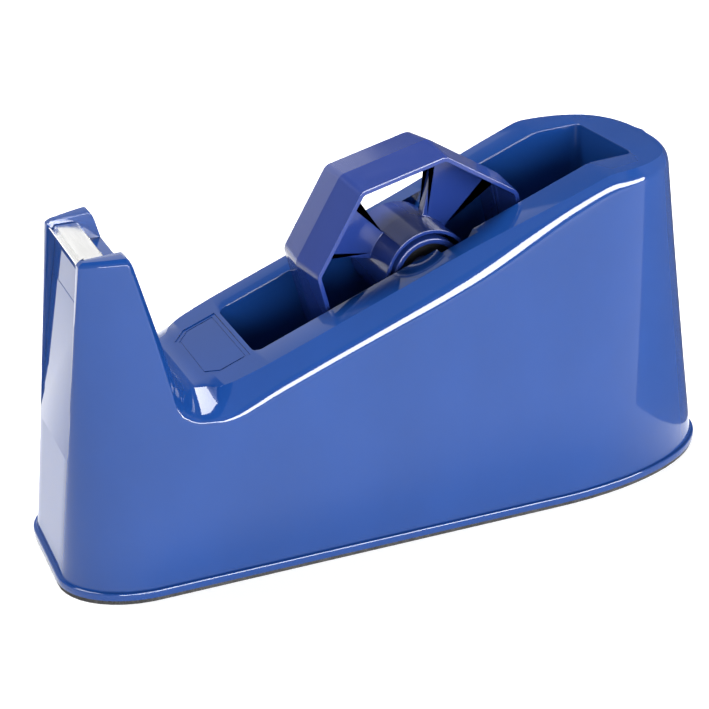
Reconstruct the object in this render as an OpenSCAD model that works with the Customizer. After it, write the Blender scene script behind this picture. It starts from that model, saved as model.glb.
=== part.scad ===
// Weighted desk tape dispenser with an octagonal lift-out reel.
// +X points to the back, the cutter is at -X, +Z is up, and the body mirrors about Y = 0.
// The origin is on the desk, under the middle of the base.

/* [Body] */
// Overall length, over the base flange
body_l = 221; // [216:1:226]
// Overall width, over the base flange
body_w = 65; // [63:0.5:68]
// Height of the side wall's foot, where it meets the flange
foot_z = 3.6; // [3.4:0.1:4.4]
// How far the flange stands out from the wall
flange_out = 1.3; // [0.8:0.1:2]
// Height of the flat rim above the desk, at the front end of the well
rim_z = 63.4; // [61:0.2:66]
// Slope of the rim along the well, in degrees
rim_slope = 21.7; // [19:0.1:23]
// Slope of the rim behind the kink, in degrees
rear_slope = 3.8; // [2:0.1:6]
// Where the rim's slope changes
kink_x = 56; // [52:0.5:60]
// How far the back leans in between its foot and the level of the cheeks' tops
back_lean = 22.3; // [20:0.1:25]
// Wall thickness of the moulding
wall_t = 2.5; // [2:0.1:3]

/* [Well] */
// Inside width of the tape well
well_w = 32; // [31:0.5:34]
// Front end of the well
well_front_x = -49.5; // [-51:0.5:-48]
// Rear end of the well
well_rear_x = 71; // [70:0.5:73]
// Height of the well's floor above the desk
well_floor_z = 19; // [18.5:0.5:21]

/* [Tower] */
// Height of the cheeks above the desk, at their rear
cheek_z = 99.7; // [97:0.1:101]
// Distance between the two cheeks
cheek_gap = 32; // [31:0.5:33]
// Rear top edge of the cheeks
cheek_rear_x = -85.3; // [-87:0.1:-84]
// Front top edge of the cheeks
cheek_front_x = -98.2; // [-99:0.1:-97]
// Depth of the recess in the front face, at its top
recess_d = 2.4; // [2:0.1:5]
// Height where the recess runs out
recess_foot_z = 40; // [36:1:50]

/* [Reel] */
// Distance across the flats of the octagonal reel, for tape with a 76 mm core
reel_flats = 68.6; // [66:0.2:70]
// Width of the reel
reel_w = 26.6; // [24:0.2:27]
// Thickness of the octagonal band
band_t = 2.9; // [2:0.1:3.5]
// Outer radius of the reel's round boss
boss_r = 14.1; // [13.8:0.1:15]
// Outer radius of the core tube
tube_r = 11.3; // [10.8:0.1:12]
// Radius of the axle
axle_r = 3; // [2.5:0.1:3.2]
// Angle of the axle's slots from the level, in degrees
slot_angle = 60; // [58:1:64]

/* [Hidden] */

// Body outline. "level" is 0 at the wall's foot and 1 at the top of the tower.
front_foot_x = -body_l / 2 + flange_out;
back_foot_x = body_l / 2 - flange_out;
back_top_x = back_foot_x - back_lean;
half_w = body_w / 2 - flange_out;
function level(z) = (z - foot_z) / (cheek_z - foot_z);
function blend(a, b, t) = a + (b - a) * t;
function front_x(z) = blend(front_foot_x, cheek_front_x, level(z));
function back_x(z) = blend(back_foot_x, back_top_x, level(z));

// Half width of the body at x and height z: a flat nose, a rounded flare, straight sides
// and a rounded back, each eased from the foot to the top.
function flare_w(x, z) = let(v = level(z), nose = blend(13, 18.6, v), n = blend(2, 1.2, v),
    t = min(1, max(0, (x - front_x(z)) / blend(24.5, 48, v))))
    nose + (half_w - 0.4 * v - nose) * pow(1 - pow(1 - t, n), 1 / n);
function tail_w(x, z) = let(v = level(z), a = blend(66, 34, v), n = blend(2, 2.5, v),
    t = min(1, max(0, (x - back_x(z) + a) / a)))
    (half_w - 0.4 * v) * pow(max(0, 1 - pow(t, n)), 1 / n);
function side_y(x, z) = min(flare_w(x, z), tail_w(x, z));

// Height of the top surface along the body.
tower_slope = 3.9;
saddle_x = -66;
kink_z = rim_z + (kink_x - well_front_x) * tan(rim_slope);
function rim_at(x) = rim_z + (x - well_front_x) * tan(rim_slope);
function tower_at(x) = cheek_z - (x - cheek_rear_x) * tower_slope;
function tower_rear_x(z) = cheek_rear_x + (cheek_z - z) / tower_slope;
// The saddle is an arc that touches both the tower's rear face and the rim.
saddle_r = 8.6;
rim_secant = 1 / cos(rim_slope);
tower_secant = sqrt(1 + tower_slope * tower_slope);
slope_sum = tower_slope + tan(rim_slope);
low_x = cheek_rear_x + (cheek_z - rim_at(cheek_rear_x)) / slope_sum;
arc_x = low_x + saddle_r * (tower_secant - rim_secant) / slope_sum;
arc_z = rim_at(arc_x) + saddle_r * rim_secant;
arc_front_x = arc_x - saddle_r * tower_slope / tower_secant;
arc_rear_x = arc_x + saddle_r * sin(rim_slope);
function top_z(x) =
    x > kink_x ? kink_z + (x - kink_x) * tan(rear_slope)
  : x > arc_rear_x ? rim_at(x)
  : x > arc_front_x ? arc_z - sqrt(saddle_r * saddle_r - (x - arc_x) * (x - arc_x))
  : x > cheek_rear_x ? tower_at(x)
  : cheek_z - (cheek_rear_x - x) * tan(4);

// Shoulder: how far the crease lies inside the wall, and how far the bend lies below it.
function table(x, rows) = x <= rows[0][0] ? rows[0][1]
  : x >= rows[len(rows) - 1][0] ? rows[len(rows) - 1][1]
  : [for (i = [1:len(rows) - 1]) if (x > rows[i - 1][0] && x <= rows[i][0])
     blend(rows[i - 1][1], rows[i][1], (x - rows[i - 1][0]) / (rows[i][0] - rows[i - 1][0]))][0];
function shoulder_in(x) =
    table(x, [[-86, 0.8], [-79, 2.6], [-73, 8.4], [-67, 9.2], [-60, 6.8], [-46, 5.8], [10, 5.2],
              [45, 2.6], [70, 2.2], [85, 1]]);
function shoulder_down(x) =
    table(x, [[-86, 0.8], [-79, 3], [-73, 5], [-62, 5.6], [-40, 7.6], [0, 9], [45, 10.5],
              [68, 2.5], [85, 1]]);

// Stations of the loft, by where each meets the top surface. They lean with the back wall.
fore_x = -body_l / 2 - 2;
end_x = back_x(top_z(back_top_x)) - 0.02;
stations = concat(
    [fore_x],
    [for (x = [front_foot_x:1.6:cheek_front_x - 1]) x],
    [for (x = [cheek_front_x:3.2:cheek_rear_x - 1]) x],
    [for (x = [cheek_rear_x:1.5:saddle_x + 4]) x],
    [for (x = [saddle_x + 6:6:kink_x - 3]) x],
    [for (x = [kink_x:3:end_x - 18]) x],
    [for (i = [8:-1:0]) end_x - 16 * pow(i / 8, 2)]);
function lean_s(x) = (x - fore_x) / (back_x(top_z(x)) - fore_x);
function along(s, z) = blend(fore_x, back_x(z), s);

// One half section through the station at x, from the foot to the middle of the top.
wall_rows = 7;
min_y = 0.3;
function wall_point(s, z, skin) = let(zw = max(z, foot_z), x = along(s, zw))
    [x, max(min_y, side_y(x, zw) - skin), z];
function half_section(x, skin) =
    let(s = lean_s(x), h = top_z(x), down = shoulder_down(x) + skin / 2,
        z_foot = skin > 0 ? 0 : foot_z, z_bend = h - skin - down,
        z_round = z_bend + 0.35 * down, bend = wall_point(s, z_bend, skin),
        y_crease = max(min_y, side_y(x, h) - skin - shoulder_in(x)))
    concat(
        [for (j = [0:wall_rows]) wall_point(s, blend(z_foot, z_bend, j / wall_rows), skin)],
        [[along(s, z_round), blend(bend[1], y_crease, 0.22), z_round],
         [x, y_crease, h - skin], [x, y_crease / 2, h - skin]]);
function full_ring(x, skin) = let(r = half_section(x, skin), n = len(r), last = r[n - 1])
    concat(r, [[last[0], 0, last[2]]], [for (i = [n - 1:-1:0]) [r[i][0], -r[i][1], r[i][2]]]);

// Closed loft through the given stations, "skin" inside the outer surface. Each quad is split
// so that the two sides mirror each other.
module body_loft(skin, at) {
    rings = [for (x = at) full_ring(x, skin)];
    n = len(rings[0]);
    m = len(rings);
    polyhedron(
        points = [for (r = rings) each r],
        faces = concat(
            [for (i = [0:m - 2]) for (j = [0:n - 1]) let(a = i * n, b = a + n, k = (j + 1) % n)
                each 2 * j < n - 1 ? [[a + j, b + j, b + k], [a + j, b + k, a + k]]
                                   : [[a + j, b + j, a + k], [b + j, b + k, a + k]]],
            [[for (j = [0:n - 1]) j], [for (j = [n - 1:-1:0]) (m - 1) * n + j]]));
}

// Plan outline of the body at its foot, grown by d.
outline_n = 48;
function outline(d) = let(
    h = [for (i = [0:outline_n]) let(t = (1 - cos(i * 180 / outline_n)) / 2)
        [blend(front_foot_x, back_foot_x, t), side_y(blend(front_foot_x, back_foot_x, t), foot_z)]],
    grow_x = (back_foot_x - front_foot_x + 2 * d) / (back_foot_x - front_foot_x),
    grow_y = (half_w + d) / half_w,
    g = [for (p = h) [p[0] * grow_x, p[1] * grow_y]])
    concat(g, [for (i = [outline_n - 1:-1:0]) [g[i][0], -g[i][1]]]);

// Cheeks, front recess and blade seat.
land_z = 92;
seat_rear_x = cheek_rear_x - 4.3;
seat_floor_z = 84;
tower_ceiling_z = seat_floor_z - 3;
far = 140;
function recess_x(z) = blend(front_x(recess_foot_z), front_x(land_z) + recess_d,
    (z - recess_foot_z) / (land_z - recess_foot_z));

// Reel centre and axle seat.
reel_x = 6;
reel_z = 76.8;
runner_r = axle_r + 0.6;
slot_r = runner_r + 0.3;
slot_d = 3.3;
axle_half = well_w / 2 + slot_d - 0.4;
reel_half_w = reel_w / 2;
web_t = 1.5;
window_a = 54;
spoke_a = 60;
outer_r = 3.4;
inner_r = 1.8;
tube_t = 1.8;
axle_gap = 0.05;
bush_in = 4;
bush_out = 8.3;

// Base, ballast and their screws.
plate_z = 1.2;
plate_t = foot_z - plate_z;
ballast_z = foot_z + 0.5;
ballast_top_z = 48;
middle_ballast_z = well_floor_z - wall_t - 1;
base_screw_at = [[-101, 0], [101, 0], [-46, 24.6], [-46, -24.6], [64, 22.8], [64, -22.8]];
ballast_screw_at = [[-86, 0], [-66, 0], [-30, 0], [50, 0], [83, 7.5], [83, -7.5]];
holder_screw_at = [[-91.6, 9], [-91.6, -9]];
tap_r = 1.45;
head_r = 3;
head_t = 1.2;
base_tip_z = 16;
ballast_tip_z = 12;
holder_tap_r = 1.2;
holder_head_r = 2.2;
holder_head_t = 1.4;
screw_boss_h = 20;
screw_boss_r = 3.4;
rib_t = 1.6;

// A prism whose outline is drawn in the XZ plane, from y = -w to y = w.
module side_prism(w) { rotate([90, 0, 0]) linear_extrude(2 * w, center = true) children(); }
// A round bar along Y from y = a to y = b, centred at x, z.
module y_bar(r, a, b, x = reel_x, z = reel_z) {
    translate([x, b, z]) rotate([90, 0, 0]) cylinder(h = b - a, r = r, $fn = 64);
}

module front_clip() {
    side_prism(50) polygon([[front_foot_x, foot_z - 0.01], [cheek_front_x, cheek_z], [cheek_front_x, far],
                            [200, far], [200, foot_z - 0.01]]);
}
module outer_body() { intersection() { body_loft(0, stations); front_clip(); } }
module cavity() {
    intersection() {
        body_loft(wall_t, [for (i = [1:3:len(stations) - 4]) stations[i]]);
        side_prism(50) polygon(concat(
            [[front_foot_x + wall_t, -1], [recess_x(recess_foot_z) + wall_t, recess_foot_z],
             [recess_x(tower_ceiling_z) + wall_t - 0.2, tower_ceiling_z],
             [tower_rear_x(seat_floor_z) - wall_t, tower_ceiling_z]],
            [for (x = [-78:2:kink_x]) [x, min(tower_ceiling_z, top_z(x) - 1.5 * wall_t)]],
            [[kink_x + 1, far], [200, far], [200, -1]]));
    }
}
// Round seat for the axle's runner with a straight channel up to the rim, cut in both walls.
module slot_shape(r, w) {
    side_prism(w) translate([reel_x, reel_z]) rotate(slot_angle)
        polygon(concat([[22, -r], [22, r]], [for (a = [90:6:270]) [r * cos(a), r * sin(a)]]));
}
// The block that the well and the axle's slots are cut in.
module well_block() {
    translate([well_front_x - wall_t, -well_w / 2 - wall_t, well_floor_z - wall_t])
        cube([well_rear_x - well_front_x + 2 * wall_t, well_w + 2 * wall_t, 120]);
    slot_shape(slot_r + 2, well_w / 2 + slot_d + 2);
}
// The well's floor is rounded at both ends.
function arc(x, z, r, a0) = [for (a = [a0:15:a0 + 90]) [x + r * cos(a), z + r * sin(a)]];
module well_space() {
    front_r = 34;
    rear_r = 16;
    side_prism(well_w / 2) polygon(concat(
        [[well_front_x, far]], arc(well_front_x + front_r, well_floor_z + front_r, front_r, 180),
        arc(well_rear_x - rear_r, well_floor_z + rear_r, rear_r, 270), [[well_rear_x, far]]));
}
// Shallow panel in front of the well, with its front corners cut off.
module label_recess() {
    front = -64.4;
    rear = -50.8;
    w = 15.8;
    cut = 3.6;
    intersection() {
        side_prism(20) polygon([[front, rim_at(front) - 0.6], [rear, rim_at(rear) - 0.6],
                                [rear, 90], [front, 90]]);
        translate([0, 0, 40]) linear_extrude(60)
            polygon([[front, w - cut], [front + cut, w], [rear, w],
                     [rear, -w], [front + cut, -w], [front, cut - w]]);
    }
}
module cheek_cuts() {
    side_prism(cheek_gap / 2) polygon([[-120, recess_foot_z], [recess_x(recess_foot_z), recess_foot_z],
        [recess_x(seat_floor_z), seat_floor_z], [seat_rear_x, seat_floor_z], [seat_rear_x, land_z],
        [tower_rear_x(land_z) + 2, land_z], [tower_rear_x(land_z) + 2, far], [-120, far]]);
}
// Screw bosses, each tied by a rib: the side ones to the side wall, the others to the end walls.
module bosses() {
    for (p = base_screw_at) {
        side = p[1] > 0 ? 1 : -1;
        end_rib = p[0] > 0 ? 4 : 6;
        translate([p[0], p[1], foot_z]) cylinder(h = screw_boss_h, r = screw_boss_r, $fn = 32);
        if (p[1] != 0)
            translate([p[0] - rib_t / 2, side > 0 ? 18 : -29.6, foot_z]) cube([rib_t, 11.6, screw_boss_h]);
        else
            translate([p[0] > 0 ? p[0] : p[0] - end_rib, -rib_t / 2, foot_z]) cube([end_rib, rib_t, 12]);
    }
}

module housing() {
    color("royalblue") difference() {
        union() {
            difference() {
                union() {
                    outer_body();
                    translate([0, 0, plate_z]) linear_extrude(plate_t) polygon(outline(flange_out));
                }
                difference() {
                    cavity();
                    well_block();
                }
            }
            bosses();
        }
        translate([0, 0, plate_z - 1]) linear_extrude(plate_t + 1) polygon(outline(-wall_t));
        well_space();
        slot_shape(slot_r, well_w / 2 + slot_d);
        cheek_cuts();
        label_recess();
        for (p = base_screw_at) translate([p[0], p[1], 0]) cylinder(h = foot_z + 14, r = tap_r, $fn = 24);
        for (p = holder_screw_at) translate([p[0], p[1], 70]) cylinder(h = 20, r = tap_r, $fn = 24);
    }
}

// The base plate closes the body from below; its counterbores take the screw heads.
module base_plate() {
    color("dimgray") difference() {
        translate([0, 0, plate_z]) linear_extrude(plate_t) polygon(outline(-wall_t - 0.2));
        for (p = concat(base_screw_at, ballast_screw_at)) translate([p[0], p[1], 0]) {
            cylinder(h = 10, r = tap_r, $fn = 24);
            cylinder(h = plate_z + head_t, r = head_r + 0.2, $fn = 32);
        }
    }
}
// Foam pad under the whole base, with a hole under each screw head.
module non_slip_pad() {
    color("black") difference() {
        linear_extrude(plate_z) polygon(outline(flange_out - 0.4));
        for (p = concat(base_screw_at, ballast_screw_at)) translate([p[0], p[1], -1])
            cylinder(h = 10, r = head_r + 0.6, $fn = 32);
    }
}
// Cross-headed screws, driven up through the base plate.
module screws(places, tip_z) {
    color("silver") for (p = places) translate([p[0], p[1], 0]) difference() {
        union() {
            translate([0, 0, plate_z]) cylinder(h = head_t, r = head_r, $fn = 32);
            translate([0, 0, plate_z + head_t / 2])
                cylinder(h = tip_z - plate_z - head_t / 2, r = tap_r, $fn = 24);
        }
        for (a = [0, 90]) rotate([0, 0, a]) translate([-2, -0.4, plate_z - 1]) cube([4, 0.8, 1.7]);
    }
}
module base_screws() { screws(base_screw_at, base_tip_z); }
module ballast_screws() { screws(ballast_screw_at, ballast_tip_z); }

// A cast block with chamfered upper edges, drilled for its screws from below.
module ballast(x0, x1, w, top) {
    color("darkslategray") difference() {
        side_prism(w) polygon([[x0, ballast_z], [x1, ballast_z], [x1, top - 3], [x1 - 3, top],
                               [x0 + 3, top], [x0, top - 3]]);
        for (p = ballast_screw_at) translate([p[0], p[1], 0]) cylinder(h = ballast_tip_z + 0.5, r = tap_r, $fn = 24);
    }
}
module front_ballast() { ballast(-95, -56, 18, ballast_top_z); }
module middle_ballast() { ballast(-46, 68, 17.5, middle_ballast_z); }
module rear_ballast() { ballast(76.5, 92, 13.5, ballast_top_z + 10); }

// The holder carries the blade between the cheeks and is screwed up from inside the tower.
holder_top_z = 97;
blade_t = 0.6;
blade_z = holder_top_z + blade_t;
rivet_z = 94.5;
rivet_y = [-6, 6];
blade_back_x = seat_rear_x - 0.1;
valley_x = -96.8;
landing_x = -95.6;
module rivet_holes() {
    for (y = rivet_y) translate([seat_rear_x - 4.2, y, rivet_z]) rotate([0, 90, 0])
        cylinder(h = 6, r = 1, $fn = 24);
}
module blade_holder() {
    back = blade_back_x - blade_t;
    color("royalblue") difference() {
        side_prism(cheek_gap / 2 - 0.1) polygon([[recess_x(seat_floor_z) + 0.1, seat_floor_z],
            [recess_x(holder_top_z - 4), holder_top_z - 4], [valley_x, blade_z - 1.9],
            [landing_x, holder_top_z], [back, holder_top_z], [back, land_z - 0.4],
            [blade_back_x, land_z - 0.6], [blade_back_x, seat_floor_z]]);
        for (p = holder_screw_at) translate([p[0], p[1], 70]) cylinder(h = 20, r = holder_tap_r, $fn = 24);
        rivet_holes();
    }
}
// Folded strip of spring steel: a rear flange, the landing, a valley and the toothed edge.
tooth_w = 1.5;
tooth_n = 20;
module cutter_blade() {
    back = blade_back_x;
    tip_x = -98.3;
    profile = [[back, land_z + 0.2], [back, blade_z], [landing_x, blade_z], [valley_x, blade_z - 1.1],
               [tip_x, blade_z + 0.1], [tip_x, blade_z + 0.1 - blade_t], [valley_x, blade_z - 1.7],
               [landing_x, holder_top_z], [back - blade_t, holder_top_z], [back - blade_t, land_z + 0.2]];
    color("gainsboro") difference() {
        side_prism(tooth_w * tooth_n / 2 + 0.4) polygon(profile);
        for (i = [0:tooth_n]) translate([tip_x - 0.1, (i - tooth_n / 2) * tooth_w, 90]) rotate([0, 0, 45])
            translate([-tooth_w / 2, -tooth_w / 2, 0]) cube([tooth_w, tooth_w, 20]);
        rivet_holes();
    }
}
module blade_rivets() {
    color("silver") for (y = rivet_y) translate([seat_rear_x, y, rivet_z]) rotate([0, 90, 0]) {
        translate([0, 0, -4]) cylinder(h = 4.2, r = 1, $fn = 24);
        translate([0, 0, -0.1]) cylinder(h = 0.7, r = 1.7, $fn = 32);
    }
}
module holder_screws() {
    color("silver") for (p = holder_screw_at)
        translate([p[0], p[1], tower_ceiling_z - holder_head_t]) {
            cylinder(h = holder_head_t, r = holder_head_r, $fn = 32);
            cylinder(h = 9.4, r = holder_tap_r, $fn = 24);
        }
}

// Octagon with rounded corners, turned so that its flats match the spokes.
function octagon(flats, r) = let(c = (flats / 2 - r) / cos(22.5))
    [for (i = [0:7]) let(corner = spoke_a + 22.5 + 45 * i) for (a = [corner - 22.5:11.25:corner + 22.5])
        [c * cos(corner) + r * cos(a), c * sin(corner) + r * sin(a)]];
module windows() {
    w = 60 * tan(window_a / 2);
    for (i = [0:3]) rotate(spoke_a + 45 + 90 * i) polygon([[0, 0], [60, -w], [60, w]]);
}
// One half of the reel, from the middle plane outwards along -Y.
module reel_half() {
    translate([reel_x, 0, reel_z]) rotate([90, 0, 0]) difference() {
        union() {
            linear_extrude(reel_half_w) difference() {
                polygon(octagon(reel_flats, outer_r));
                polygon(octagon(reel_flats - 2 * band_t, inner_r));
            }
            linear_extrude(web_t) difference() {
                polygon(octagon(reel_flats - 2, 2));
                difference() {
                    intersection() { polygon(octagon(reel_flats - 2 * band_t, inner_r)); windows(); }
                    circle(r = boss_r, $fn = 96);
                }
            }
            cylinder(h = reel_half_w, r = boss_r, $fn = 96);
        }
        translate([0, 0, web_t]) cylinder(h = 40, r = boss_r - 1.4, $fn = 96);
        translate([0, 0, -1]) cylinder(h = 40, r = tube_r, $fn = 96);
    }
}
module near_reel_half() { color("royalblue") reel_half(); }
module far_reel_half() { color("royalblue") mirror([0, 1, 0]) reel_half(); }
// The tube joins the two halves through their bosses.
module core_tube() {
    color("royalblue") difference() {
        y_bar(tube_r, -reel_half_w, reel_half_w);
        y_bar(tube_r - tube_t, -reel_half_w - 1, reel_half_w + 1);
    }
}
// A bush is pressed in each end of the tube and turns on the axle.
module bush() {
    difference() {
        y_bar(tube_r - tube_t, -bush_out, -bush_in);
        y_bar(axle_r + axle_gap, -bush_out - 1, -bush_in + 1);
    }
}
module near_bush() { color("black") bush(); }
module far_bush() { color("black") mirror([0, 1, 0]) bush(); }
module axle() { color("silver") y_bar(axle_r, -axle_half, axle_half); }
// A cap is pressed on each end of the axle: a collar against the bush and a runner in the slot.
module axle_cap() {
    difference() {
        union() {
            y_bar(runner_r + 0.8, -well_w / 2 + 0.5, -bush_out - 0.3);
            y_bar(runner_r, -axle_half, -bush_out - 0.3);
        }
        y_bar(axle_r, -axle_half - 1, 0);
    }
}
module near_axle_cap() { color("royalblue") axle_cap(); }
module far_axle_cap() { color("royalblue") mirror([0, 1, 0]) axle_cap(); }

housing();
base_plate();
non_slip_pad();
front_ballast();
middle_ballast();
rear_ballast();
base_screws();
ballast_screws();
blade_holder();
cutter_blade();
blade_rivets();
holder_screws();
near_reel_half();
far_reel_half();
core_tube();
near_bush();
far_bush();
axle();
near_axle_cap();
far_axle_cap();
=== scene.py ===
import math

import bmesh
import bpy
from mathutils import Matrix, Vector


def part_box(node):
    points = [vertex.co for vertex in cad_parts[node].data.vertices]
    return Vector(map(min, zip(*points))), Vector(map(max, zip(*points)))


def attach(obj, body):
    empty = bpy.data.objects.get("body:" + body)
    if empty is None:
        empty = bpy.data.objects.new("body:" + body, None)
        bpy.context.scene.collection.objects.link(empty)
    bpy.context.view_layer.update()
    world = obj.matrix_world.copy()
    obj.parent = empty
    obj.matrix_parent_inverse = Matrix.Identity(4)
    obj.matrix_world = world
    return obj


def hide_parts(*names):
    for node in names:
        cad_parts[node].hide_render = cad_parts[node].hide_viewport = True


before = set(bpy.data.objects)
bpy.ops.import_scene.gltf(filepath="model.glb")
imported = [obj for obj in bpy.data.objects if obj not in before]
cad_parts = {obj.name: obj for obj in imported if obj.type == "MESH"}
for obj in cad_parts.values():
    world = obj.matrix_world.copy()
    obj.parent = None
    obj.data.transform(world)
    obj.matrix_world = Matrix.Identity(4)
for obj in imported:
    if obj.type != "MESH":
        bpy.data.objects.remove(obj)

MM = 0.001
MERGE_M, SLIVER_M = 1e-7, 1e-8
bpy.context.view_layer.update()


# ---------------------------------------------------------------- small helpers

def blend(a, b, t):
    return a + (b - a) * t


def clamp(t):
    return min(1.0, max(0.0, t))


def smooth_max(a, b, r):
    """The larger of two values, rounded where they come within r of each other."""
    d = max(0.0, r - abs(a - b))
    return max(a, b) + d * d / (4 * r)


def smooth_min(a, b, r):
    return -smooth_max(-a, -b, r)


def steps(a, b, count):
    """count values from a up to, but not including, b."""
    return [a + (b - a) * i / count for i in range(count)]


def curve_through(rows):
    """A smooth function through (x, value) rows that never overshoots them."""
    xs, ys = zip(*rows)
    slopes = [(ys[i + 1] - ys[i]) / (xs[i + 1] - xs[i]) for i in range(len(xs) - 1)]
    at = [0.0]
    for a, b in zip(slopes, slopes[1:]):
        at.append(0.0 if a * b <= 0 else 2 * a * b / (a + b))
    at.append(0.0)

    def value(x):
        if x <= xs[0]:
            return ys[0]
        if x >= xs[-1]:
            return ys[-1]
        i = max(k for k in range(len(xs) - 1) if xs[k] <= x)
        w = xs[i + 1] - xs[i]
        t = (x - xs[i]) / w
        return ((2 * t ** 3 - 3 * t ** 2 + 1) * ys[i] + (t ** 3 - 2 * t ** 2 + t) * w * at[i]
                + (3 * t ** 2 - 2 * t ** 3) * ys[i + 1] + (t ** 3 - t ** 2) * w * at[i + 1])

    return value


def mesh_object(name, points, faces):
    """A new object from points in millimetres. Doubled points are merged and normals made outward."""
    mesh = bpy.data.meshes.new(name)
    mesh.from_pydata([Vector(p) * MM for p in points], [], faces)
    bm = bmesh.new()
    bm.from_mesh(mesh)
    bmesh.ops.remove_doubles(bm, verts=bm.verts, dist=MERGE_M)
    bmesh.ops.dissolve_degenerate(bm, edges=bm.edges, dist=SLIVER_M)
    bmesh.ops.recalc_face_normals(bm, faces=bm.faces)
    bm.to_mesh(mesh)
    bm.free()
    obj = bpy.data.objects.new(name, mesh)
    bpy.context.scene.collection.objects.link(obj)
    return obj


def loft(rings, closed=True, caps=True):
    """Points and faces through rings that all have the same number of points."""
    n = len(rings[0])
    points = [p for ring in rings for p in ring]
    faces = []
    for i in range(len(rings) - 1):
        for j in range(n if closed else n - 1):
            k = (j + 1) % n
            faces.append((i * n + j, i * n + k, (i + 1) * n + k, (i + 1) * n + j))
    if caps:
        faces.append(tuple(range(n))[::-1])
        faces.append(tuple((len(rings) - 1) * n + j for j in range(n)))
    return points, faces


def apply_modifiers(obj):
    """Replaces the object's mesh with what its modifiers make of it."""
    bpy.context.view_layer.update()
    evaluated = obj.evaluated_get(bpy.context.evaluated_depsgraph_get())
    mesh = bpy.data.meshes.new_from_object(evaluated)
    obj.modifiers.clear()
    obj.data = mesh


def combine(target, tool, operation):
    """Exact boolean of target with tool, applied, and the tool removed."""
    modifier = target.modifiers.new("combine", "BOOLEAN")
    modifier.operation = operation
    modifier.solver = "EXACT"
    modifier.object = tool
    apply_modifiers(target)
    bpy.data.objects.remove(tool)


def bevel_where(obj, chosen, width, segments):
    """Rounds the edges that chosen(edge, angle in degrees) picks, by width in millimetres."""
    bm = bmesh.new()
    bm.from_mesh(obj.data)
    edges = [e for e in bm.edges if len(e.link_faces) == 2
             and chosen(e, math.degrees(e.calc_face_angle(0.0)))]
    if edges:
        bmesh.ops.bevel(bm, geom=edges, offset=width * MM, offset_type="OFFSET", segments=segments,
                        profile=0.5, affect="EDGES", clamp_overlap=False)
    bm.to_mesh(obj.data)
    bm.free()


def shade(obj, angle, keep_flats=False):
    """Smooth shading, with edges sharper than angle (degrees) left crisp.

    keep_flats lets the large faces set the normals, so that small bevels don't bend their shine.
    """
    for polygon in obj.data.polygons:
        polygon.use_smooth = True
    obj.data.set_sharp_from_angle(angle=math.radians(angle))
    if keep_flats:
        modifier = obj.modifiers.new("flats", "WEIGHTED_NORMAL")
        modifier.keep_sharp = True
        apply_modifiers(obj)


def paint(obj, material):
    """Makes material the object's only one."""
    obj.data.materials.clear()
    obj.data.materials.append(material)


def finish_piece(obj, nodes, material, body):
    """Paints a piece, hangs it from its body's empty, and hides the CAD nodes it stands for."""
    paint(obj, material)
    for polygon in obj.data.polygons:
        polygon.material_index = 0
    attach(obj, body)
    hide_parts(*nodes)


# ---------------------------------------------------------------- materials

class Nodes:
    """A short way to lay out a node material."""

    def __init__(self, name):
        self.material = bpy.data.materials.new(name)
        self.material.use_nodes = True
        self.tree = self.material.node_tree
        self.tree.nodes.clear()
        out = self.add("ShaderNodeOutputMaterial")
        self.shader = self.add("ShaderNodeBsdfPrincipled")
        self.link(self.shader.outputs["BSDF"], out.inputs["Surface"])
        self.place = self.add("ShaderNodeTexCoord").outputs["Object"]

    def add(self, kind, **values):
        node = self.tree.nodes.new(kind)
        for key, value in values.items():
            setattr(node, key, value)
        return node

    def link(self, a, b):
        self.tree.links.new(a, b)

    def set(self, **values):
        """Shader inputs by name, with _ for each space."""
        for key, value in values.items():
            self.shader.inputs[key.replace("_", " ")].default_value = value

    def noise(self, scale, detail=3.0, rough=0.5, stretch=None):
        node = self.add("ShaderNodeTexNoise")
        node.inputs["Scale"].default_value = scale
        node.inputs["Detail"].default_value = detail
        node.inputs["Roughness"].default_value = rough
        place = self.place
        if stretch:
            mapping = self.add("ShaderNodeMapping")
            mapping.inputs["Scale"].default_value = stretch
            self.link(self.place, mapping.inputs["Vector"])
            place = mapping.outputs["Vector"]
        self.link(place, node.inputs["Vector"])
        return node.outputs["Fac"]

    def ramp(self, fac, low, high, start=0.35, end=0.65):
        """Colour from low to high as fac goes from start to end."""
        node = self.add("ShaderNodeValToRGB")
        first, last = node.color_ramp.elements
        first.position, last.position = start, end
        first.color, last.color = (*low, 1), (*high, 1)
        self.link(fac, node.inputs["Fac"])
        return node.outputs["Color"]

    def range(self, fac, low, high, start=0.3, end=0.7):
        """Value from low to high as fac goes from start to end."""
        node = self.add("ShaderNodeMapRange")
        for key, value in zip(("From Min", "From Max", "To Min", "To Max"), (start, end, low, high)):
            node.inputs[key].default_value = value
        self.link(fac, node.inputs["Value"])
        return node.outputs["Result"]

    def bump(self, height, distance, after=None):
        """Relief that is distance metres deep, laid over the relief given as after."""
        node = self.add("ShaderNodeBump")
        node.inputs["Distance"].default_value = distance
        self.link(height, node.inputs["Height"])
        if after is not None:
            self.link(after, node.inputs["Normal"])
        return node.outputs["Normal"]


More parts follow.
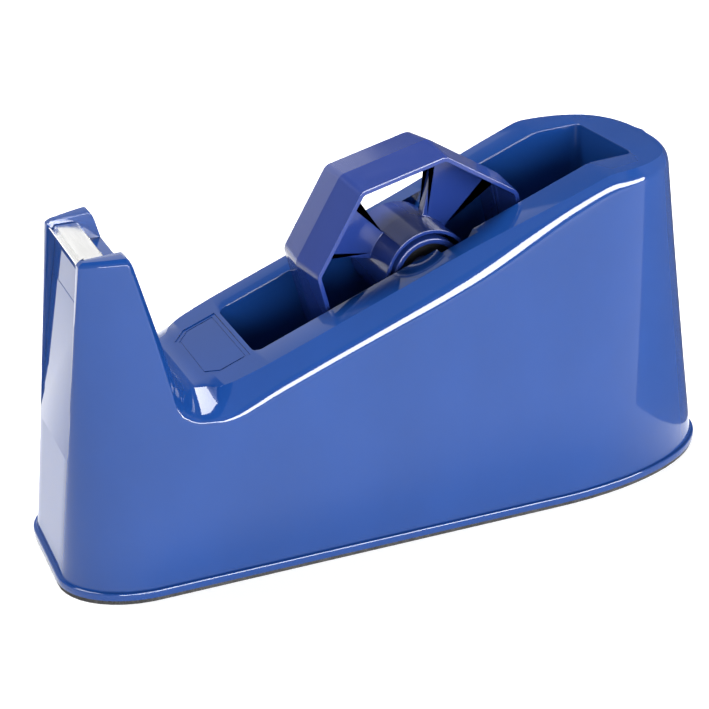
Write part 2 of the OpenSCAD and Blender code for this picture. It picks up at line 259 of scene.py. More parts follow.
def plastic(name, color, rough, shine=0.5):
    """Moulded plastic: faint flow marks, slow ripples in the gloss and a very fine skin."""
    spread, ripple_depth, skin_depth = 0.06, 0.00001, 0.0000002
    n = Nodes(name)
    low = tuple(c * (1 - spread) for c in color)
    high = tuple(c * (1 + spread) for c in color)
    flow_marks = n.noise(26, 4, 0.55, (1, 1, 0.6))
    handling = n.noise(180, 5, 0.6)
    ripples = n.bump(n.noise(45, 2), ripple_depth)
    skin = n.bump(n.noise(2400, 2), skin_depth, after=ripples)
    n.link(n.ramp(flow_marks, low, high), n.shader.inputs["Base Color"])
    n.link(n.range(handling, rough * 0.8, rough * 1.25), n.shader.inputs["Roughness"])
    n.link(skin, n.shader.inputs["Normal"])
    n.set(IOR=1.5, Specular_IOR_Level=shine)
    return n.material


def metal(name, color, rough, stretch, scale, depth):
    """Metal with a fine grain drawn out along one axis."""
    n = Nodes(name)
    grain = n.noise(scale, 4, 0.6, stretch)
    darker = tuple(c * 0.92 for c in color)
    n.link(n.ramp(grain, darker, color), n.shader.inputs["Base Color"])
    n.link(n.range(grain, rough * 0.75, rough * 1.3), n.shader.inputs["Roughness"])
    n.link(n.bump(grain, depth), n.shader.inputs["Normal"])
    n.set(Metallic=1.0)
    return n.material


def foam(name):
    """Near-black foam rubber with small cells."""
    cell_scale, cell_depth = 1400, 0.0003
    darkest, palest = (0.006, 0.006, 0.007), (0.02, 0.02, 0.022)
    n = Nodes(name)
    cells = n.add("ShaderNodeTexVoronoi")
    cells.inputs["Scale"].default_value = cell_scale
    n.link(n.place, cells.inputs["Vector"])
    n.link(n.ramp(n.noise(300), darkest, palest), n.shader.inputs["Base Color"])
    n.link(n.range(n.noise(500), 0.75, 0.95), n.shader.inputs["Roughness"])
    n.link(n.bump(cells.outputs["Distance"], cell_depth), n.shader.inputs["Normal"])
    n.set(IOR=1.45)
    return n.material


def casting(name):
    """A rough, unpainted casting."""
    sand_depth = 0.0003
    darkest, palest = (0.05, 0.05, 0.052), (0.11, 0.11, 0.112)
    n = Nodes(name)
    sand = n.noise(700, 6, 0.7)
    n.link(n.ramp(sand, darkest, palest), n.shader.inputs["Base Color"])
    n.link(n.range(n.noise(90), 0.5, 0.75), n.shader.inputs["Roughness"])
    n.link(n.bump(sand, sand_depth), n.shader.inputs["Normal"])
    n.set(Metallic=0.8)
    return n.material


BLUE = (0.006, 0.036, 0.165)
REEL_BLUE = (0.012, 0.030, 0.160)
body_gloss = plastic("body_gloss_blue", BLUE, 0.055, shine=0.36)
reel_satin = plastic("reel_satin_blue", REEL_BLUE, 0.14, shine=0.36)
dark_plastic = plastic("dark_plastic", (0.03, 0.03, 0.033), 0.45)
nylon = plastic("black_nylon", (0.012, 0.012, 0.014), 0.4)
foam_black = foam("foam_black")
cast_grey = casting("cast_grey")
zinc = metal("zinc_steel", (0.66, 0.66, 0.63), 0.3, (1, 1, 1), 900, 0.00001)
axle_steel = metal("axle_steel", (0.60, 0.60, 0.60), 0.25, (1, 0.02, 1), 2600, 0.000005)
blade_steel = metal("blade_steel", (0.95, 0.95, 0.94), 0.2, (1, 0.03, 1), 2200, 0.000003)

CAD_LOOKS = {
    "base_plate": dark_plastic, "non_slip_pad": foam_black, "near_bush": nylon, "far_bush": nylon,
    "front_ballast": cast_grey, "middle_ballast": cast_grey, "rear_ballast": cast_grey,
    "base_screws": zinc, "ballast_screws": zinc, "holder_screws": zinc, "blade_rivets": zinc,
    "axle": axle_steel, "blade_holder": body_gloss, "near_axle_cap": reel_satin,
    "far_axle_cap": reel_satin,
}


def dress_cad_nodes():
    """Paints the pieces that keep their CAD shape."""
    for name, material in CAD_LOOKS.items():
        paint(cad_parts[name], material)


# ---------------------------------------------------------------- housing

low_corner, high_corner = (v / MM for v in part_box("housing"))
BODY_L = high_corner.x - low_corner.x
BODY_W = high_corner.y - low_corner.y
PLATE_Z = low_corner.z
FOOT_Z, FLANGE_OUT, WALL_T = 3.6, 1.3, 2.5
FRONT_FOOT_X = -BODY_L / 2 + FLANGE_OUT
BACK_FOOT_X = BODY_L / 2 - FLANGE_OUT
HALF_W = BODY_W / 2 - FLANGE_OUT

CHEEK_Z, CHEEK_FRONT_X, CHEEK_REAR_X, CHEEK_GAP_HALF = 99.7, -98.2, -85.3, 16.0
EAR_SLOPE, TOWER_SLOPE = math.tan(math.radians(4)), 3.9
WELL_FRONT_X, WELL_REAR_X, WELL_FLOOR_Z, WELL_HALF = -49.5, 71.0, 19.0, 16.0
RIM_Z, RIM_SLOPE, REAR_SLOPE = 63.4, math.tan(math.radians(21.7)), math.tan(math.radians(3.8))
KINK_X, BACK_LEAN = 56.0, 22.3
KINK_Z = RIM_Z + (KINK_X - WELL_FRONT_X) * RIM_SLOPE
RECESS_D, RECESS_FOOT_Z, LAND_Z, SEAT_FLOOR_Z = 2.4, 40.0, 92.0, 84.0
SEAT_REAR_X = CHEEK_REAR_X - 4.3
LABEL_FRONT_X, LABEL_REAR_X, LABEL_HALF, LABEL_CUT = -64.4, -50.8, 15.8, 3.6
OPEN_Z, OPEN_FRONT_X = 140.0, -125.0

# Plan of the body, each as (at the foot, at the cheeks' height): the nose's half width, the lengths
# over which the nose flares and the tail rounds off, and how full these two curves are.
NOSE_W, FLARE_L, TAIL_L = (13, 18.6), (24.5, 48), (66, 34)
FLARE_POWER, TAIL_POWER = (2, 1.2), (2, 2.5)
SIDE_DRAFT = 0.4

reel_low, reel_high = (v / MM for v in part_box("core_tube"))
REEL_X, REEL_Z = (reel_low.x + reel_high.x) / 2, (reel_low.z + reel_high.z) / 2
SLOT_ANGLE, SLOT_R, SLOT_D = math.radians(60), 3.9, 3.3


def level(z):
    """0 at the foot, 1 at the top of the cheeks."""
    return (z - FOOT_Z) / (CHEEK_Z - FOOT_Z)


def front_x(z):
    return blend(FRONT_FOOT_X, CHEEK_FRONT_X, level(z))


def back_x(z):
    return blend(BACK_FOOT_X, BACK_FOOT_X - BACK_LEAN, level(z))


def nose_w(z):
    return blend(*NOSE_W, level(z))


def side_y(x, z):
    """Half the body's width: it flares from the nose and rounds off at the tail."""
    v = level(z)
    full = HALF_W - SIDE_DRAFT * v
    power = blend(*FLARE_POWER, v)
    t = clamp((x - front_x(z)) / blend(*FLARE_L, v))
    flare = nose_w(z) + (full - nose_w(z)) * (1 - (1 - t) ** power) ** (1 / power)
    power, tail = blend(*TAIL_POWER, v), blend(*TAIL_L, v)
    t = clamp((x - back_x(z) + tail) / tail)
    return min(flare, full * max(0.0, 1 - t ** power) ** (1 / power))


def rim_at(x):
    return RIM_Z + (x - WELL_FRONT_X) * RIM_SLOPE


def tower_at(x):
    return CHEEK_Z - (x - CHEEK_REAR_X) * TOWER_SLOPE


# The saddle is an arc that touches both the tower's rear face and the rim. The bend between the
# shoulder and the side wall takes the same turn with a larger arc.
SADDLE_R, BEND_R, LEAST_DROP = 8.6, 17.0, 4.5
EAR_BLEND, KINK_BLEND = 4.0, 0.7
RIM_SECANT, TOWER_SECANT = math.hypot(1, RIM_SLOPE), math.hypot(1, TOWER_SLOPE)
VALLEY_X = CHEEK_REAR_X + (CHEEK_Z - rim_at(CHEEK_REAR_X)) / (TOWER_SLOPE + RIM_SLOPE)


def top_z(x, radius=SADDLE_R):
    """Height of the top along the body: the ears, the tower's rear, the saddle, the rim, the tail."""
    arc_x = VALLEY_X + radius * (TOWER_SECANT - RIM_SECANT) / (TOWER_SLOPE + RIM_SLOPE)
    if x > arc_x + radius * RIM_SLOPE / RIM_SECANT:
        return smooth_min(rim_at(x), KINK_Z + (x - KINK_X) * REAR_SLOPE, KINK_BLEND)
    if x > arc_x - radius * TOWER_SLOPE / TOWER_SECANT:
        return rim_at(arc_x) + radius * RIM_SECANT - math.sqrt(radius ** 2 - (x - arc_x) ** 2)
    return smooth_min(CHEEK_Z - (CHEEK_REAR_X - x) * EAR_SLOPE, tower_at(x), EAR_BLEND)


def recess_x(z):
    """Floor of the front recess, which starts flush and is RECESS_D deep at the blade."""
    foot, top = front_x(RECESS_FOOT_Z), front_x(LAND_Z) + RECESS_D
    return blend(foot, top, (z - RECESS_FOOT_Z) / (LAND_Z - RECESS_FOOT_Z))


def tower_rear_x(z):
    return CHEEK_REAR_X + (CHEEK_Z - z) / TOWER_SLOPE


# The shoulder along the body, as (x, value): how far in from the wall its crease lies, how far down
# the wall it ends, and the share of it that is left flat. It is round all through the saddle.
shoulder_in = curve_through([
    (-98, 1.2), (-86, 1.5), (-80, 2.6), (-77, 4.4), (-74, 8.6), (-70, 13.0), (-66, 12.2),
    (-63, 8.8), (-58, 6.8), (-46, 5.8), (10, 5.2), (45, 2.8), (70, 2.2), (85, 1.4)])
shoulder_down = curve_through([
    (-98, 1.3), (-86, 1.5), (-80, 2.8), (-76, 5.0), (-70, 8.4), (-62, 8.0),
    (-40, 8.0), (0, 9), (45, 10.5), (68, 2.8), (85, 1.6)])
flat_share = curve_through([(-86, 0.5), (-76, 0.12), (-62, 0.12), (-48, 0.5)])
STEEPEST_SHOULDER, CORNER_SHARE, TOWER_EDGE_X = 1.28, 0.7, -77.0
BEND_STEPS = 8

# Columns of the skin: shares of the nose's half width, distances behind the cheeks' front, spans
# of x as (from, to, count), and the tail, where they crowd together.
FRONT_SPLIT = (0.0, 0.3, 0.6, 0.8)
NOSE_STEPS = (0.03, 0.1, 0.22, 0.4, 0.7, 1.1, 1.7, 2.5, 3.6, 5, 6.6, 8.4)
COLUMN_SPANS = ((-88, -82, 14), (-82, -70, 26), (-70, -56, 22), (-56, -44, 8), (-44, 50, 26),
                (50, 60, 16))
LAST_SPAN_X, LAST_SPAN_COLUMNS = 60, 8
TAIL_SPAN, TAIL_COLUMNS = 16, 18
SETTLE_ROUNDS = 30


def columns():
    """(share of the way back, share of the nose's half width) of each column round one half."""
    end = BACK_FOOT_X - BACK_LEAN
    for _ in range(SETTLE_ROUNDS):
        end = back_x(top_z(end))
    tops = [CHEEK_FRONT_X + d for d in NOSE_STEPS]
    for span in COLUMN_SPANS:
        tops += steps(*span)
    tops += steps(LAST_SPAN_X, end - TAIL_SPAN, LAST_SPAN_COLUMNS)
    tops += [end - TAIL_SPAN * (1 - i / TAIL_COLUMNS) ** 2 for i in range(TAIL_COLUMNS)]
    found = [(0.0, f) for f in (*FRONT_SPLIT, 1.0)]
    for x in tops:
        z = top_z(x)
        found.append(((x - front_x(z)) / (back_x(z) - front_x(z)), 1.0))
    return found + [(1.0, 1.0)]


def outline_point(column, z):
    """Where a column stands in plan at height z."""
    s, f = column
    x = blend(front_x(z), back_x(z), s)
    if s == 0:
        return Vector((x, f * nose_w(z)))
    return Vector((x, 0.0 if s == 1 else side_y(x, z)))


def outward(cols, i, z, reach):
    """Plan direction out of the body at column i, taken over reach millimetres each way."""
    last, most_columns = len(cols) - 1, 40

    def at(k):
        if 0 <= k <= last:
            return outline_point(cols[k], z)
        mirrored = outline_point(cols[-k if k < 0 else 2 * last - k], z)
        return Vector((mirrored.x, -mirrored.y))

    here = at(i)
    a = b = i
    while (at(a) - here).length < reach and i - a < most_columns:
        a -= 1
    while (at(b) - here).length < reach and b - i < most_columns:
        b += 1
    before = here + (at(a) - here).normalized() * reach
    after = here + (at(b) - here).normalized() * reach
    along = (after - before).normalized()
    return Vector((-along.y, along.x))


def shoulder_rows(crease, bend, corner, flat):
    """From the crease straight for a share of the way to the corner, then round into the wall."""
    start = crease.lerp(corner, flat)
    rows = [crease, crease.lerp(start, 0.06), crease.lerp(start, 0.5)]
    for k in range(BEND_STEPS + 1):
        t = k / BEND_STEPS
        rows.append(start * (1 - t) ** 2 + corner * (2 * t * (1 - t)) + bend * t ** 2)
    return rows


# The foot of the wall and the flange, as (distance out, height above FOOT_Z).
WALL_END_Z = FOOT_Z + 1.2
FOOT_PROFILE = ((0.0, 0.6), (0.08, 0.25), (0.3, 0.04), (0.6, 0.0), (0.85, -0.02), (1.1, -0.12),
                (1.25, -0.32), (1.3, -0.6), (1.3, -2.0), (1.22, -2.3), (1.0, -2.4))
WALL_ROWS, WALL_CROWDING = 26, 1.15
TOP_REACH, FOOT_REACH = 2.6, 1.5


def wall_point(column, z):
    """Point of a column on the plain wall at height z."""
    return Vector((*outline_point(column, z), z))


def edge_z(column):
    """Height at which a column's wall would meet the top."""
    z = CHEEK_Z
    for _ in range(SETTLE_ROUNDS):
        z = 0.5 * z + 0.5 * top_z(outline_point(column, z).x)
    return z


def shoulder_of(cols, i, on_middle):
    """Rows of column i from the crease to the bend, where the plain wall starts."""
    column = cols[i]
    z = edge_z(column)
    edge = outline_point(column, z)
    x = edge.x
    inner = edge - outward(cols, i, z, TOP_REACH) * min(shoulder_in(x), 0.9 * max(edge.y, 0.9))
    if on_middle:
        inner.y = 0.0
    crease_z = top_z(inner.x)
    slope = (top_z(x + 0.2) - top_z(x - 0.2)) / 0.4
    bend_z = top_z(x, BEND_R) - shoulder_down(x) * min(2.0, math.sqrt(1 + slope * slope))
    if x > TOWER_EDGE_X:
        bend_z = smooth_min(bend_z, crease_z - LEAST_DROP, 2.0)
    crease = Vector((inner.x, max(0.0, inner.y), crease_z))
    corner_drop = min(CORNER_SHARE * (crease_z - bend_z), STEEPEST_SHOULDER * shoulder_in(x))
    corner = wall_point(column, crease_z - corner_drop)
    return shoulder_rows(crease, wall_point(column, bend_z), corner, flat_share(x)), bend_z


def skin_half():
    """Outer skin of one half (y above 0) as rows of points, column by column from nose to tail."""
    cols = columns()
    grid = []
    for i, column in enumerate(cols):
        on_middle = i == 0 or column[0] == 1
        rows, bend_z = shoulder_of(cols, i, on_middle)
        for k in range(1, WALL_ROWS + 1):
            z = blend(bend_z, WALL_END_Z, (k / WALL_ROWS) ** WALL_CROWDING)
            rows.append(wall_point(column, z))
        foot, foot_out = outline_point(column, FOOT_Z), outward(cols, i, FOOT_Z, FOOT_REACH)
        for grow, up in FOOT_PROFILE:
            p = foot + foot_out * grow
            rows.append(Vector((p.x, 0.0 if on_middle else p.y, FOOT_Z + up)))
        grid.append(rows)
    return grid


def both_sides(grid_points, grid_faces):
    """Mirrors a half mesh about the middle plane."""
    n = len(grid_points)
    points = list(grid_points) + [Vector((p[0], -p[1], p[2])) for p in grid_points]
    faces = list(grid_faces) + [tuple(n + k for k in reversed(f)) for f in grid_faces]
    return points, faces


def strip_faces(count_a, count_b):
    """Quads over count_a lines of count_b points each."""
    return [(i * count_b + j, (i + 1) * count_b + j, (i + 1) * count_b + j + 1, i * count_b + j + 1)
            for i in range(count_a - 1) for j in range(count_b - 1)]


# Lines along the top, from the middle out: each at most this far out, and this share of the crease.
TOP_LINES = ((0.0, 0.0), (7.0, 0.3), (12.0, 0.6), (14.7, 0.8))
UNDER_LINES = (0.0, 0.5, 1.0)


def body_skin():
    """The closed outside of the body: skin, top and underside, on both sides."""
    grid = skin_half()
    points = [p for column in grid for p in column]
    faces = strip_faces(len(grid), len(grid[0]))
    front = len(FRONT_SPLIT)
    top = [[grid[k][0] for k in range(front + 1)]]
    for column in grid[front + 1:]:
        c = column[0]
        top.append([Vector((c.x, min(most, share * c.y), c.z)) for most, share in TOP_LINES] + [c])
    base = len(points)
    points += [p for row in top for p in row]
    faces += [tuple(base + k for k in reversed(f)) for f in strip_faces(len(top), front + 1)]
    under = [[Vector((column[-1].x, column[-1].y * f, PLATE_Z)) for f in UNDER_LINES]
             for column in grid]
    base = len(points)
    points += [p for row in under for p in row]
    faces += [tuple(base + k for k in f) for f in strip_faces(len(under), len(UNDER_LINES))]
    return mesh_object("housing_shell", *both_sides(points, faces))


def side_prism(name, outline, half_y):
    """A prism whose outline is drawn in the XZ plane, across the body."""
    rings = [[(x, y, z) for x, z in outline] for y in (-half_y, half_y)]
    return mesh_object(name, *loft(rings))


def polar(r, degrees):
    """The point at radius r and this angle."""
    return r * math.cos(math.radians(degrees)), r * math.sin(math.radians(degrees))


def well_cutter(grow=0.0, roof=OPEN_Z):
    """The well: upright walls with rounded corners in plan and a floor curved at both ends."""
    front_r, rear_r, plan_r = 34.0, 16.0, 2.6
    corner_steps = (0, 0.1, 0.35, 0.75, 1.3, 1.9, plan_r)
    a, b = WELL_FRONT_X - grow, WELL_REAR_X + grow

    def floor_z(x):
        z = WELL_FLOOR_Z - grow
        if x < a + front_r:
            d = a + front_r - x
            return z + front_r - math.sqrt(max(0.0, front_r ** 2 - d ** 2))
        if x > b - rear_r:
            d = x - b + rear_r
            return z + rear_r - math.sqrt(max(0.0, rear_r ** 2 - d ** 2))
        return z

    xs = ([a + d for d in corner_steps] + steps(a + plan_r + 1.5, b - plan_r, 34)
          + [b - d for d in reversed(corner_steps)])
    rings = []
    for x in xs:
        d = min(x - a, b - x, plan_r)
        w = WELL_HALF + grow - plan_r + math.sqrt(max(0.0, plan_r ** 2 - (plan_r - d) ** 2))
        rings.append([(x, -w, floor_z(x)), (x, -w, roof), (x, w, roof), (x, w, floor_z(x))])
    return mesh_object("well_cutter", *loft(rings))


def slot_cutter(r, half_y):
    """Round seat for the axle's runner with a straight channel up to the rim."""
    channel_end = 22
    points = [(channel_end, -r), (channel_end, r)] + [polar(r, a) for a in range(90, 271, 6)]
    c, s = math.cos(SLOT_ANGLE), math.sin(SLOT_ANGLE)
    outline = [(REEL_X + u * c - v * s, REEL_Z + u * s + v * c) for u, v in points]
    return side_prism("slot_cutter", outline, half_y)


def cheek_cutter():
    """What is open between the cheeks: the front recess, the holder's seat and the tape's path."""
    rear_x = tower_rear_x(LAND_Z) + 2
    return side_prism("cheek_cutter", [
        (OPEN_FRONT_X, RECESS_FOOT_Z), (recess_x(RECESS_FOOT_Z), RECESS_FOOT_Z),
        (recess_x(SEAT_FLOOR_Z), SEAT_FLOOR_Z), (SEAT_REAR_X, SEAT_FLOOR_Z), (SEAT_REAR_X, LAND_Z),
        (rear_x, LAND_Z), (rear_x, OPEN_Z), (OPEN_FRONT_X, OPEN_Z)], CHEEK_GAP_HALF)


def label_outline(inset):
    """Plan of the panel in front of the well: a rectangle with its two front corners cut."""
    front, rear = LABEL_FRONT_X + inset, LABEL_REAR_X - inset
    w, cut = LABEL_HALF - inset, LABEL_CUT
    return [(front, w - cut), (front + cut, w), (rear, w), (rear, -w), (front + cut, -w),
            (front, cut - w)]


def label_cutter(name, inset, depth, width=None):
    """A shallow pocket in the sloping rim, or a groove round it when a width is given."""
    above = 12

    def slab(by):
        rings = [[(x, y, rim_at(x) + up) for x, y in label_outline(by)] for up in (-depth, above)]
        return mesh_object(name, *loft(rings))

    cutter = slab(inset)
    if width:
        combine(cutter, slab(inset + width), "DIFFERENCE")
    return cutter


def hollow():
    """The space inside the shell: the skin drawn inwards by the wall's thickness."""
    levels, below, probe_z, column_count = 6, -1.0, 80, 46
    draft_allowance, least_y, least_top_y = 0.35, 0.5, 0.4
    rings = []
    for share in steps(0.012, 0.985, column_count):
        column = (share, 1.0)
        top = min(SEAT_FLOOR_Z - 3, top_z(outline_point(column, probe_z).x) - 1.6 * WALL_T)
        half = []
        for k in range(levels + 1):
            z = blend(below, top, k / levels)
            wall_z = max(z, FOOT_Z)
            front = recess_x(z) if z > RECESS_FOOT_Z else FRONT_FOOT_X
            x = max(outline_point(column, wall_z).x, front + WALL_T)
            x = min(x, back_x(wall_z) - WALL_T)
            y = max(least_y, side_y(x, wall_z) - WALL_T - draft_allowance)
            if k == levels:
                y = max(least_top_y, y - shoulder_in(x))
            half.append((x, y, z))
        rings.append(half + [(x, -y, z) for x, y, z in reversed(half)])
    space = mesh_object("hollow", *loft(rings))
    combine(space, well_cutter(WALL_T, OPEN_Z + 10), "DIFFERENCE")
    combine(space, slot_cutter(SLOT_R + 2, WELL_HALF + SLOT_D + 2), "DIFFERENCE")
    return space


def on_top(point):
    """Whether a point in millimetres lies on the rim, the saddle or the cheeks' top."""
    return abs(point.z - top_z(point.x)) < 0.03


def on_recess_edge(point):
    """Whether a point lies where a cheek's inner side meets the front."""
    return abs(abs(point.y) - CHEEK_GAP_HALF) < 0.02 and abs(point.x - front_x(point.z)) < 0.05


def visible_edge(edge, angle):
    """The sharp edges of the rim, the well and the front recess."""
    points = [v.co / MM for v in edge.verts]
    return angle > 55 and (all(map(on_top, points)) or all(map(on_recess_edge, points)))


def build_housing():
    """The body: skin, openings, rounded edges, axle slots, label panel and the hollow inside."""
    shell = body_skin()
    combine(shell, well_cutter(), "DIFFERENCE")
    combine(shell, cheek_cutter(), "DIFFERENCE")
    bevel_where(shell, visible_edge, 0.3, 3)
    combine(shell, slot_cutter(SLOT_R, WELL_HALF + SLOT_D), "DIFFERENCE")
    combine(shell, label_cutter("label_pocket", 0.0, 0.35), "DIFFERENCE")
    combine(shell, label_cutter("label_groove", 1.0, 0.55, 0.45), "DIFFERENCE")
    combine(shell, hollow(), "DIFFERENCE")
    shade(shell, 30)
    finish_piece(shell, ["housing"], body_gloss, "base")


# ---------------------------------------------------------------- reel

REEL_FLATS, REEL_HALF_W, BAND_T, WEB_T, REEL_DRAFT = 68.56, 13.3, 2.9, 1.5, 1.35
OUTER_CORNER_R, INNER_CORNER_R = 3.4, 1.8
BOSS_R, BOSS_T, TUBE_R, TUBE_T = 14.1, 1.5, 11.3, 1.8
WINDOW_A, SPOKE_A = 54.0, 60.0
TURN_STEPS = 96


def octagon(flats, r):
    """Octagon with corners rounded to radius r, turned so that its flats face the spokes."""
    corner_steps = 8
    reach = (flats / 2 - r) / math.cos(math.radians(22.5))
    points = []
    for i in range(8):
        corner = SPOKE_A + 22.5 + 45 * i
        cx, cz = polar(reach, corner)
        for k in range(corner_steps + 1):
            x, z = polar(r, blend(corner - 22.5, corner + 22.5, k / corner_steps))
            points.append((cx + x, cz + z))
    return points


def window_outline(middle, reach):
    """A sector window whose outer side follows the octagon's inner face."""
    outer_steps, overlap = 12, 0.02
    points = [(0.0, 0.0)]
    for k in range(outer_steps + 1):
        angle = middle - WINDOW_A / 2 + WINDOW_A * k / outer_steps
        off = (angle - SPOKE_A + 22.5) % 45 - 22.5
        points.append(polar(reach / math.cos(math.radians(off)) - overlap, angle))
    return points


def circle(r):
    """A full circle, without the end point twice."""
    turns = (2 * math.pi * i / TURN_STEPS for i in range(TURN_STEPS))
    return [(r * math.cos(a), r * math.sin(a)) for a in turns]


def across(name, outlines):
    """A solid from outlines in the reel's plane, each with its distance from the middle."""
    rings = [[(REEL_X + x, y, REEL_Z + z) for x, z in outline] for y, outline in outlines]
    return mesh_object(name, *loft(rings))


def reel_half(name, side):
    """Half a reel, drafted from the middle plane so that the mould opens sideways."""
    end = side * REEL_HALF_W
    past_end, past_middle = end * 1.1, -side
    web = side * WEB_T
    inner_flats = REEL_FLATS - 2 * BAND_T
    bore_r = TUBE_R + 0.02

    half = across(name, [(0, octagon(REEL_FLATS, OUTER_CORNER_R)),
                         (end, octagon(REEL_FLATS - 2 * REEL_DRAFT, OUTER_CORNER_R))])
    cuts = [("inside", (web, octagon(inner_flats, INNER_CORNER_R)),
             (past_end, octagon(inner_flats + 0.5, INNER_CORNER_R)))]
    for i in range(4):
        wedge = window_outline(SPOKE_A + 45 + 90 * i, inner_flats / 2)
        cuts.append(("window", (past_middle, wedge), (past_end, wedge)))
    for label, *outlines in cuts:
        combine(half, across(label, outlines), "DIFFERENCE")

    combine(half, across("boss", [(0, circle(BOSS_R)), (end, circle(BOSS_R - 0.25))]), "UNION")
    for label, *outlines in (
            ("boss_inside", (web, circle(BOSS_R - BOSS_T)), (past_end, circle(BOSS_R - BOSS_T + 0.1))),
            ("bore", (past_middle, circle(bore_r)), (past_end, circle(bore_r)))):
        combine(half, across(label, outlines), "DIFFERENCE")

    on_parting_line = 0.02 * MM
    bevel_where(half, lambda e, a: a > 40 and any(abs(v.co.y) > on_parting_line for v in e.verts),
                0.3, 2)
    shade(half, 34, keep_flats=True)
    finish_piece(half, [name.replace("_shown", "")], reel_satin, "reel")


def turned(name, profile):
    """A closed solid turned about the reel's axis from (distance across, radius) points."""
    spins = [(math.cos(2 * math.pi * i / TURN_STEPS), math.sin(2 * math.pi * i / TURN_STEPS))
             for i in range(TURN_STEPS)]
    rings = [[(REEL_X + r * c, y, REEL_Z + r * s) for y, r in profile] for c, s in spins]
    points, faces = loft(rings + [rings[0]], caps=False)
    return mesh_object(name, points, faces)


def build_tube():
    """A tube whose four end edges are rounded in two steps."""
    w, outer, inner = REEL_HALF_W, TUBE_R - 0.01, TUBE_R - 0.01 - TUBE_T
    rounding, part = 0.4, 0.12
    end = [(w - rounding, outer), (w - part, outer - part), (w, outer - rounding),
           (w, inner + rounding), (w - part, inner + part), (w - rounding, inner)]
    profile = [(-y, r) for y, r in reversed(end)] + end
    tube = turned("core_tube_shown", profile)
    shade(tube, 50)
    finish_piece(tube, ["core_tube"], reel_satin, "reel")


# ---------------------------------------------------------------- cutter

TOOTH_W, TOOTH_N, TOOTH_BITE, TOOTH_FALL = 1.5, 20, 0.75, 0.8
BLADE_T, BLADE_Z, BLADE_FOOT_Z, TIP_X = 0.6, 97.6, LAND_Z + 0.3, -98.18
BLADE_REAR_X = SEAT_REAR_X - 0.1
# Both faces of the strip between the rear flange and the teeth, as (x, height above BLADE_Z).
BLADE_UPPER = ((-95.8, 0.0), (-96.1, -0.1), (-96.7, -1.0), (-96.95, -1.08), (-97.15, -0.95))
BLADE_LOWER = ((-96.9, -1.6), (-96.6, -1.55), (-95.5, -BLADE_T))


def build_blade():
    """Folded strip: rear flange, landing, valley and a zigzag front edge."""
    back, inner = BLADE_REAR_X, BLADE_REAR_X - BLADE_T
    rings = []
    for i in range(2 * TOOTH_N + 1):
        y = (i - TOOTH_N) * TOOTH_W / 2
        bite = 0.0 if i % 2 else TOOTH_BITE
        tip, tip_z = TIP_X + bite, BLADE_Z - bite * TOOTH_FALL
        outline = [(back, BLADE_FOOT_Z), (back, BLADE_Z - 0.5), (back - 0.15, BLADE_Z - 0.15),
                   (back - 0.5, BLADE_Z)]
        outline += [(x, BLADE_Z + up) for x, up in BLADE_UPPER]
        outline += [(tip, tip_z + 0.02), (tip + 0.1, tip_z - 0.35)]
        outline += [(x, BLADE_Z + up) for x, up in BLADE_LOWER]
        outline += [(inner, BLADE_Z - BLADE_T), (inner, BLADE_FOOT_Z)]
        rings.append([(x, y, z) for x, z in outline])
    blade = mesh_object("cutter_blade_shown", *loft(rings))
    shade(blade, 24)
    finish_piece(blade, ["cutter_blade"], blade_steel, "base")


# ---------------------------------------------------------------- stage

STAGE_SIZE, BACKDROP_AT, BACKDROP_H, BACKDROP_CURVE = 9.0, 3.0, 0.8, 0.6
STAGE_TURN = math.radians(23)
# Strength of the world: LOW_SKY where the upward part of a direction is under SKY_FROM, fading to
# HIGH_SKY at SKY_TO.
SKY_FROM, SKY_TO, LOW_SKY, HIGH_SKY = 0.45, 0.8, 0.55, 0.08


def build_floor():
    """A pale floor that curves up into a low backdrop that faces the camera."""
    n = Nodes("pale_floor")
    n.link(n.ramp(n.noise(3, 2), (0.62, 0.62, 0.62), (0.64, 0.64, 0.64)), n.shader.inputs["Base Color"])
    n.set(Roughness=0.9, Emission_Color=(1, 1, 1, 1), Emission_Strength=0.5)
    curve, curve_steps = BACKDROP_CURVE, 12
    rows = [(-STAGE_SIZE, 0.0), (BACKDROP_AT - curve, 0.0)]
    for k in range(1, curve_steps + 1):
        a = math.pi / 2 * k / curve_steps
        rows.append((BACKDROP_AT - curve + curve * math.sin(a), curve - curve * math.cos(a)))
    rows.append((BACKDROP_AT, BACKDROP_H))
    c, s = math.cos(STAGE_TURN), math.sin(STAGE_TURN)
    rings = [[((w * c + d * s) / MM, (-w * s + d * c) / MM, z / MM) for d, z in rows]
             for w in (-STAGE_SIZE, STAGE_SIZE)]
    floor = mesh_object("floor", *loft(rings, closed=False, caps=False))
    floor.data.materials.append(n.material)
    for polygon in floor.data.polygons:
        polygon.use_smooth = True


def build_world():
    """A white world that is dim overhead, so that the top faces keep their colour."""
    world = bpy.data.worlds.new("studio")
    world.use_nodes = True
    tree = world.node_tree
    direction = tree.nodes.new("ShaderNodeTexCoord").outputs["Generated"]
    split = tree.nodes.new("ShaderNodeSeparateXYZ")
    fade = tree.nodes.new("ShaderNodeMapRange")
    fade.interpolation_type = "SMOOTHSTEP"
    fade.inputs["From Min"].default_value = SKY_FROM
    fade.inputs["From Max"].default_value = SKY_TO
    fade.inputs["To Min"].default_value = LOW_SKY
    fade.inputs["To Max"].default_value = HIGH_SKY
    tree.links.new(direction, split.inputs["Vector"])
    tree.links.new(split.outputs["Z"], fade.inputs["Value"])
    tree.links.new(fade.outputs["Result"], tree.nodes["Background"].inputs["Strength"])
    tree.nodes["Background"].inputs["Color"].default_value = (1, 1, 1, 1)
    bpy.context.scene.world = world
    bpy.context.scene.view_settings.view_transform = "Standard"


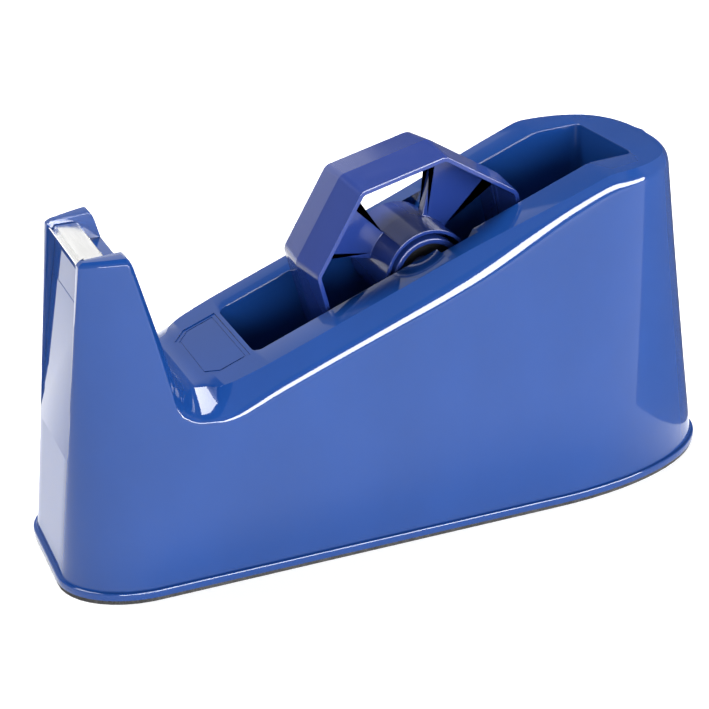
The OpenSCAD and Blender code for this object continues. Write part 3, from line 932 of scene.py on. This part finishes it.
def area_light(name, place, target, width, height, power, sheen_only):
    """A soft panel. sheen_only keeps it to gloss, so that it doesn't fill the deep well with light."""
    data = bpy.data.lights.new(name, "AREA")
    data.shape = "RECTANGLE"
    data.size, data.size_y = width, height
    data.energy = power
    light = bpy.data.objects.new(name, data)
    bpy.context.scene.collection.objects.link(light)
    light.location = place
    light.rotation_euler = (Vector(target) - Vector(place)).to_track_quat("-Z", "Y").to_euler()
    light.visible_diffuse = not sheen_only


# Panels: name, place and target in metres, width, height, power in watts, on gloss only.
PANELS = (
    ("front_strip", (0.32, -1.30, 0.40), (0, 0, 0.07), 2.6, 0.45, 44, False),
    ("front_gloss", (0.32, -1.31, 0.40), (0, 0, 0.07), 2.6, 0.45, 80, True),
    ("back_top", (-0.1, 0.75, 1.75), (0, 0, 0.08), 1.5, 0.7, 64, False),
    ("left", (-1.6, -0.4, 0.6), (0, 0, 0.05), 1.2, 1.0, 4, False),
    ("rim_sheen", (-0.05, 1.9, 0.95), (0, 0, 0.08), 2.4, 0.95, 2.4, True),
    ("shoulder_sheen", (0.0, -0.9, 1.6), (0, 0, 0.08), 2.6, 1.2, 6, True),
)
CARD_X, CARD_NEAR_Y, CARD_FAR_Y, CARD_FOOT_Z, CARD_TOP_Z = 0.118, -0.055, 0.5, 0.001, 0.5
CARD_FADE_END_Y = 0.01
CARD_NEAR_GREY, CARD_FAR_GREY = (0.7, 0.7, 0.7), (0.13, 0.13, 0.14)


def build_flag():
    """A card beside the back, grey towards the rear and seen only in the gloss, as used beside a
    shiny product so that its edge doesn't wash out."""
    n = Nodes("grey_card")
    split = n.add("ShaderNodeSeparateXYZ")
    n.link(n.place, split.inputs["Vector"])
    share = n.range(split.outputs["Y"], 0.0, 1.0, CARD_NEAR_Y, CARD_FADE_END_Y)
    n.link(n.ramp(share, CARD_NEAR_GREY, CARD_FAR_GREY, 0.0, 1.0), n.shader.inputs["Base Color"])
    n.set(Roughness=0.9, Specular_IOR_Level=0.0)
    corners = ((CARD_NEAR_Y, CARD_FOOT_Z), (CARD_FAR_Y, CARD_FOOT_Z), (CARD_FAR_Y, CARD_TOP_Z),
               (CARD_NEAR_Y, CARD_TOP_Z))
    card = mesh_object("grey_card", [(CARD_X / MM, y / MM, z / MM) for y, z in corners], [(0, 1, 2, 3)])
    card.data.materials.append(n.material)
    card.visible_camera = False
    card.visible_diffuse = False
    card.visible_shadow = False


CAMERA_PLACE = (-0.1871, -0.4046, 0.2572)
CAMERA_AZIMUTH, CAMERA_ELEVATION = math.radians(-23.39), math.radians(25.31)
CAMERA_LENS, CAMERA_SENSOR = 82.1, 36


def build_camera():
    """The photo's viewpoint, as a place in metres and a direction."""
    level_reach = math.cos(CAMERA_ELEVATION)
    back = Vector((math.sin(CAMERA_AZIMUTH) * level_reach, -math.cos(CAMERA_AZIMUTH) * level_reach,
                   math.sin(CAMERA_ELEVATION)))
    data = bpy.data.cameras.new("camera")
    data.sensor_width = CAMERA_SENSOR
    data.lens = CAMERA_LENS
    data.clip_start = 0.01
    camera = bpy.data.objects.new("camera", data)
    bpy.context.scene.collection.objects.link(camera)
    camera.location = CAMERA_PLACE
    camera.rotation_euler = (-back).to_track_quat("-Z", "Y").to_euler()
    bpy.context.scene.camera = camera


dress_cad_nodes()
build_housing()
reel_half("near_reel_half_shown", -1)
reel_half("far_reel_half_shown", 1)
build_tube()
build_blade()
build_floor()
build_world()
for panel in PANELS:
    area_light(*panel)
build_flag()
build_camera()
